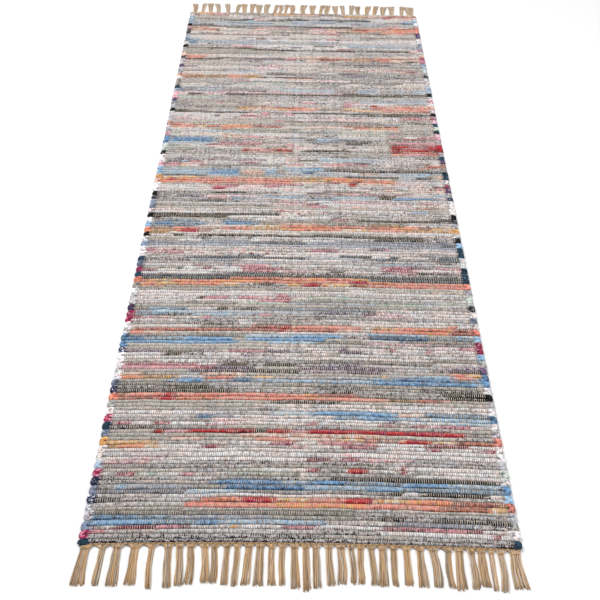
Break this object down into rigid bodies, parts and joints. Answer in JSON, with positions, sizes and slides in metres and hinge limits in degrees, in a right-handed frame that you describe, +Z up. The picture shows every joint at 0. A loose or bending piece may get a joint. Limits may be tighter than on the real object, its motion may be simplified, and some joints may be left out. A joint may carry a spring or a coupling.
{
  "type": "rag rug",
  "caption": "Flat hand-woven rag runner with raised weft ribs, looped selvedges and a knotted yarn fringe at both ends.",
  "frame": {"origin": "on the underside, below the middle of the rug's whole length and width, fringes included", "axes": "+X across the rug, +Y along it from the near fringe to the far fringe, +Z up out of its face"},
  "size_m": [0.7046, 2.158, 0.007],
  "materials": {
    "rag": "matt woven cotton rags in mixed colours",
    "yarn": "matt tan jute and cotton yarn"
  },
  "bodies": {
    "root": {"woven_body": "rag", "fringe_near": "yarn", "fringe_far": "yarn"}
  },
  "joints": []
}
